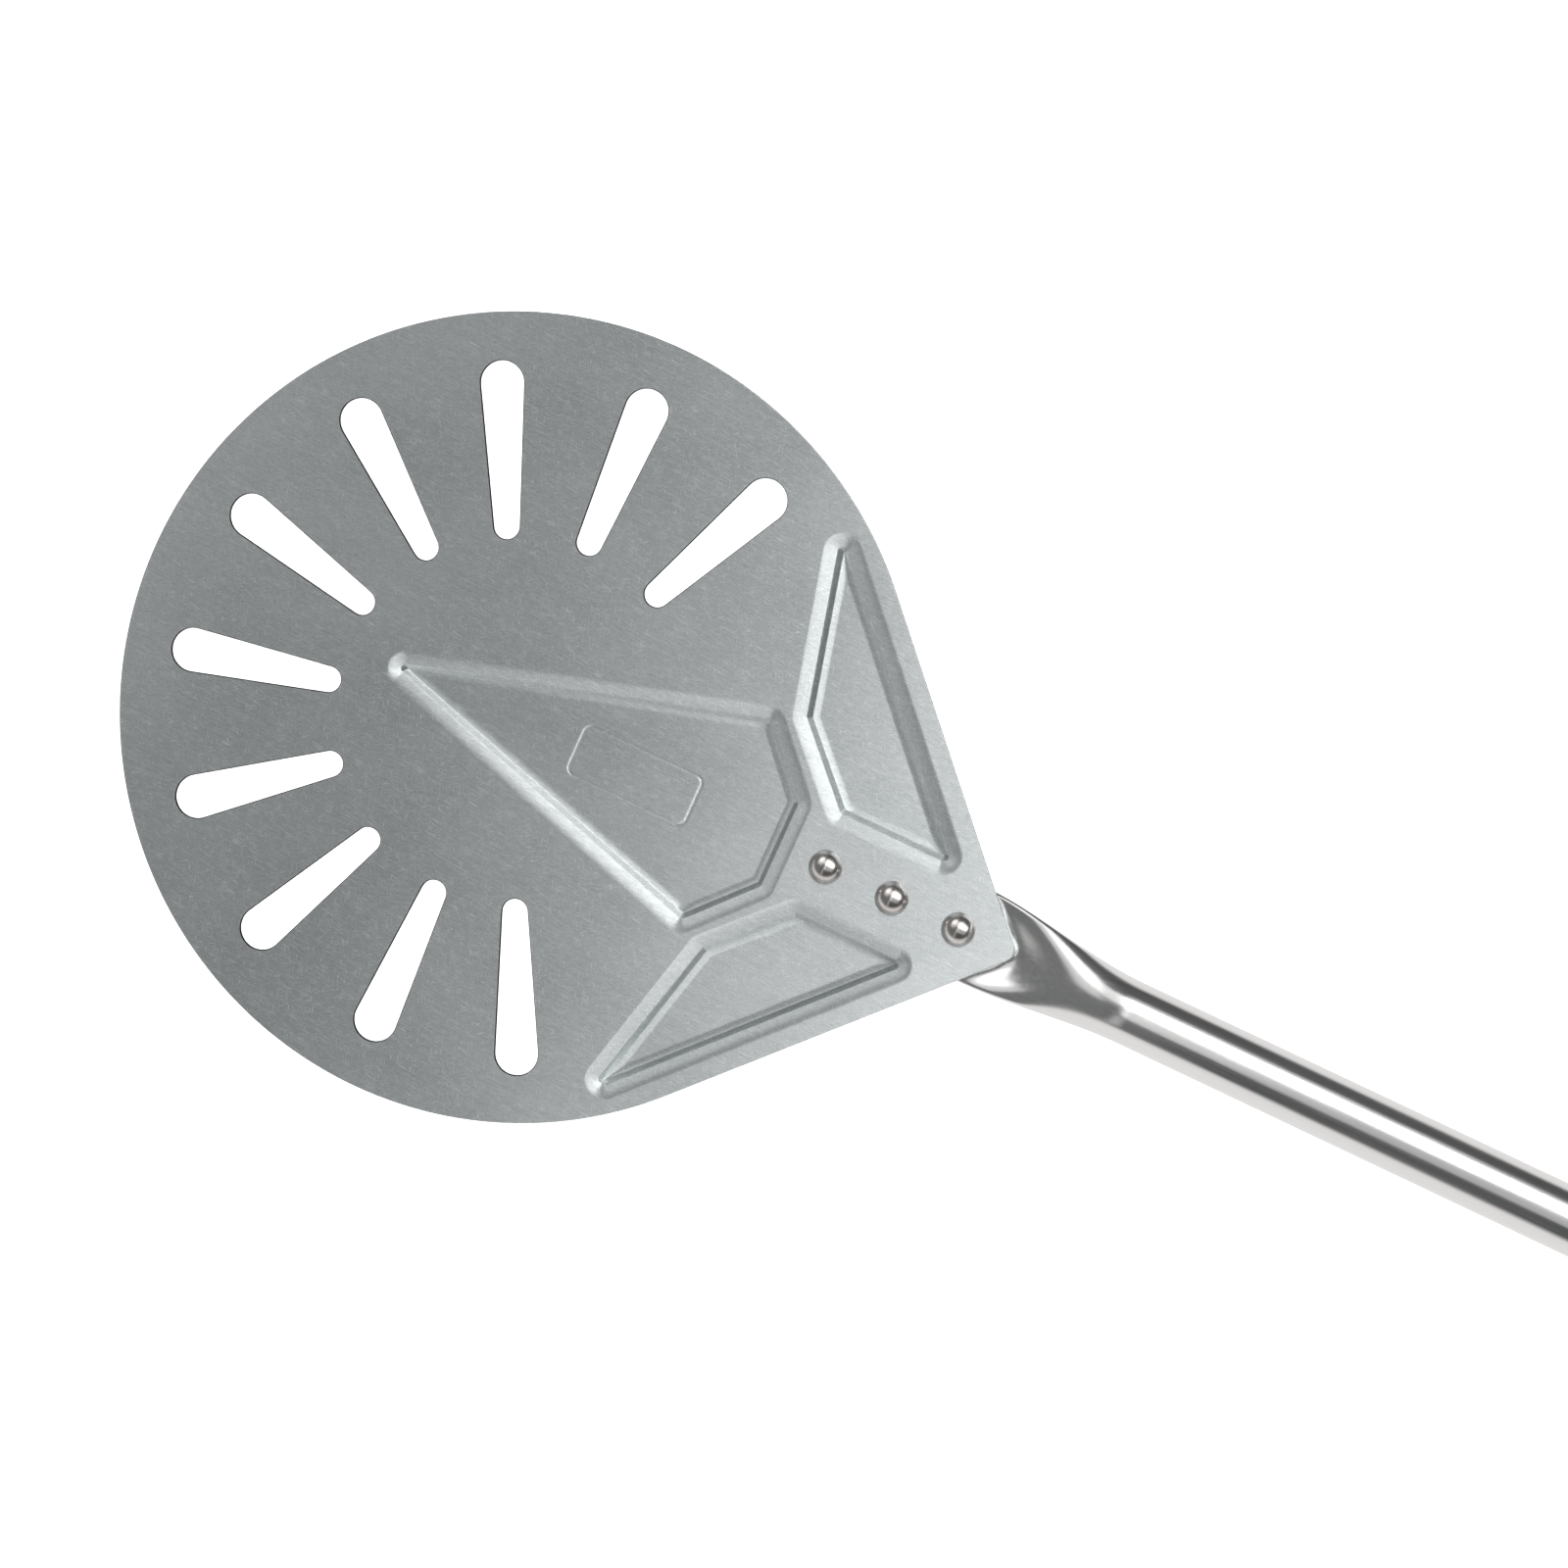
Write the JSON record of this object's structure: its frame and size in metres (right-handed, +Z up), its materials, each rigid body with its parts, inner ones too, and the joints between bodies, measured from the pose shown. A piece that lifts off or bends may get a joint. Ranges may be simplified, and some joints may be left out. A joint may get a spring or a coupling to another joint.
{
  "type": "pizza peel",
  "caption": "Round slotted steel turning peel with pressed stiffening pans, riveted tube handle, sliding sleeve and end grip with hanging eye.",
  "frame": {"origin": "centre of the round head, on the plane that the pressed pans rest on", "axes": "+X back along the handle, +Z up out of the face that carries the pizza, +Y across"},
  "size_m": [0.9859, 0.2, 0.03],
  "materials": {
    "brushed_sheet": "satin, brushed along the handle",
    "polished_tube": "polished stainless steel",
    "rivet_steel": "polished, slightly warm",
    "grip_polymer": "fine moulded grain",
    "bush_polymer": "smooth low-friction polymer"
  },
  "bodies": {
    "peel": {"blade": "brushed_sheet", "handle_tube": "polished_tube", "rivet_front": "rivet_steel", "rivet_middle": "rivet_steel", "rivet_rear": "rivet_steel", "end_grip": "grip_polymer", "tube_plug": "bush_polymer", "grip_pin": "polished_tube"},
    "sleeve": {"sliding_sleeve": "grip_polymer", "sleeve_bush_front": "bush_polymer", "sleeve_bush_rear": "bush_polymer"}
  },
  "joints": [
    {"name": "sleeve_slide", "type": "slide", "parent": "peel", "child": "sleeve", "axis": [0.9999, 0, 0.0101], "range_m": [-0.41, 0.016]}
  ]
}
